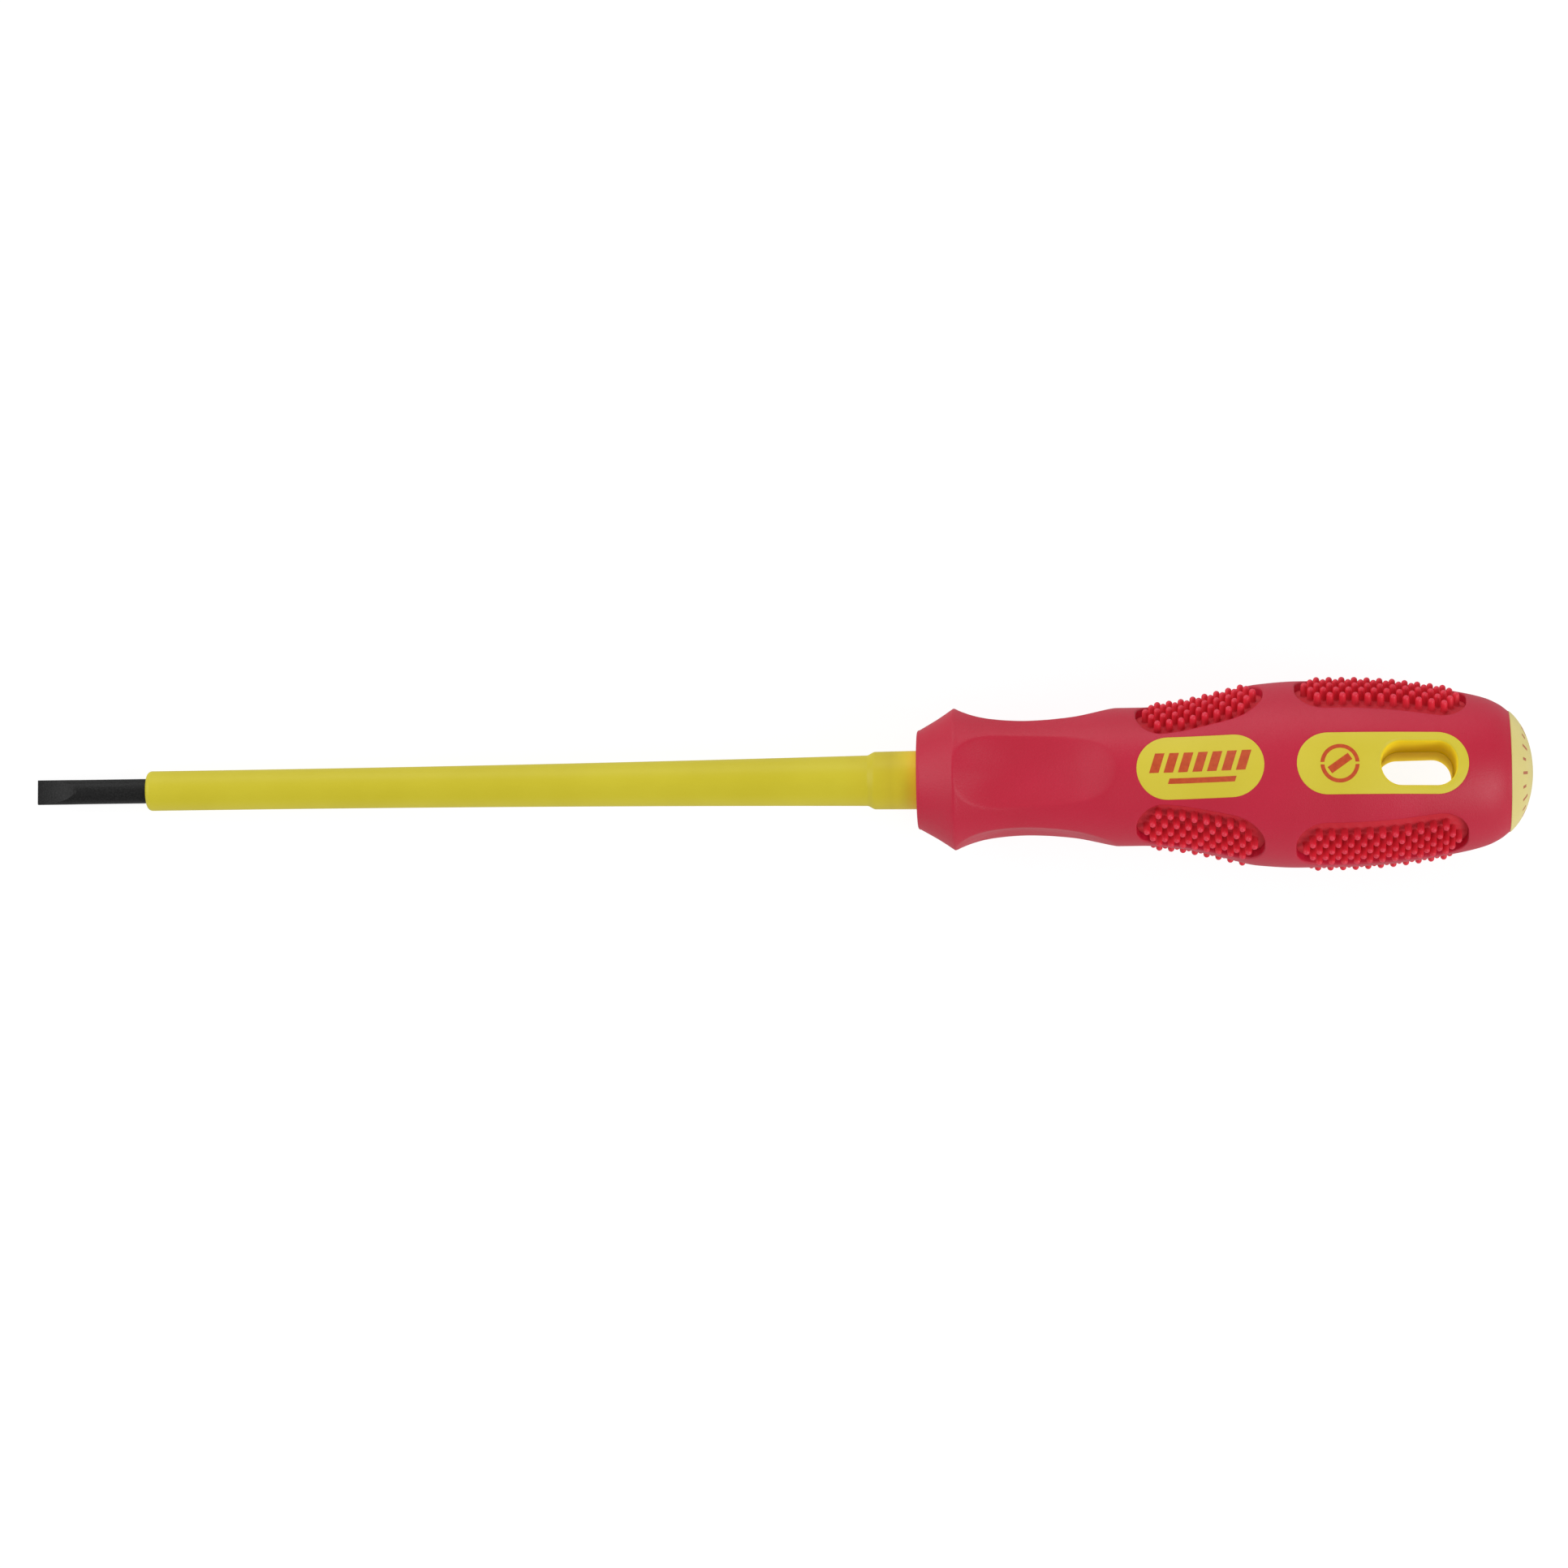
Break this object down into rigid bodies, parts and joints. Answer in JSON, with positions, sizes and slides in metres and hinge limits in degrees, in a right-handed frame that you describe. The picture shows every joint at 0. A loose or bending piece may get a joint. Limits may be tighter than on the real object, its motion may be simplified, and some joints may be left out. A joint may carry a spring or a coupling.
{
  "type": "insulated screwdriver",
  "caption": "Slim slotted screwdriver with a fully sleeved blade, a waisted two-tone handle, pimpled grip pads and a hanging slot through the handle.",
  "frame": {"origin": "middle of the blade's end face, on the tool's axis", "axes": "+X along the axis from the tip to the handle's end; +Z is the normal of the yellow plates and the way the hanging slot runs; +Y completes a right-handed frame"},
  "size_m": [0.1689, 0.0218, 0.0208],
  "materials": {
    "blackened_steel": "black oxide, satin, finer on the ground flats",
    "sleeve_plastic": "yellow insulating plastic, satin",
    "core_plastic": "yellow hard plastic, satin, printed marks on the plates",
    "grip_plastic": "red hard plastic with a fine spark-eroded texture",
    "pad_rubber": "red soft thermoplastic rubber, slightly glossy",
    "cap_plastic": "pale yellow hard plastic, satin"
  },
  "bodies": {
    "root": {"blade": "blackened_steel", "blade_sleeve": "sleeve_plastic", "handle_core": "core_plastic", "grip_body": "grip_plastic", "pad_front_upper_left": "pad_rubber", "pad_front_upper_right": "pad_rubber", "pad_front_lower_left": "pad_rubber", "pad_front_lower_right": "pad_rubber", "pad_rear_upper_left": "pad_rubber", "pad_rear_upper_right": "pad_rubber", "pad_rear_lower_left": "pad_rubber", "pad_rear_lower_right": "pad_rubber", "end_cap": "cap_plastic"}
  },
  "joints": []
}
